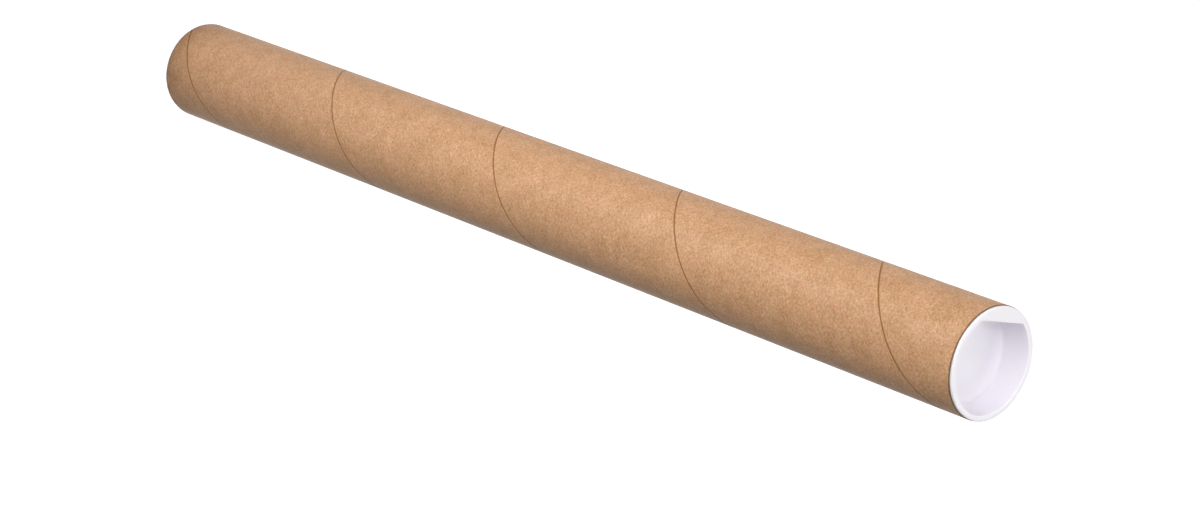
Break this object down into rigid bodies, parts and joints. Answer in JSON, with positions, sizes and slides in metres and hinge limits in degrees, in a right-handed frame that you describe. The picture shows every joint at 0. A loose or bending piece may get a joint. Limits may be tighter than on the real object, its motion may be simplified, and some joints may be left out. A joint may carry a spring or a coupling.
{
  "type": "cardboard mailing tube",
  "caption": "Spiral-wound kraft cardboard mailing tube, closed at both ends by push-in plastic caps with a deep finger pocket and a flat ledge.",
  "frame": {"origin": "centre of the rear cap's outer face, on the ground", "axes": "+Z along the tube from the rear cap to the front cap, +Y towards the flat ledge of each cap, +X completes a right-handed set"},
  "size_m": [0.0544, 0.0544, 0.612],
  "materials": {
    "kraft_board": "matt uncoated kraft paper",
    "cap_plastic": "smooth moulded polyethylene, satin"
  },
  "bodies": {
    "rear_cap": {"rear_cap": "cap_plastic"},
    "tube": {"tube": "kraft_board"},
    "front_cap": {"front_cap": "cap_plastic"}
  },
  "joints": [
    {"name": "tube_lift", "type": "slide", "parent": "rear_cap", "child": "tube", "axis": [0, 0, 1], "range_m": [0, 0.04]},
    {"name": "front_cap_pull", "type": "slide", "parent": "tube", "child": "front_cap", "axis": [0, 0, 1], "range_m": [0, 0.04]}
  ]
}
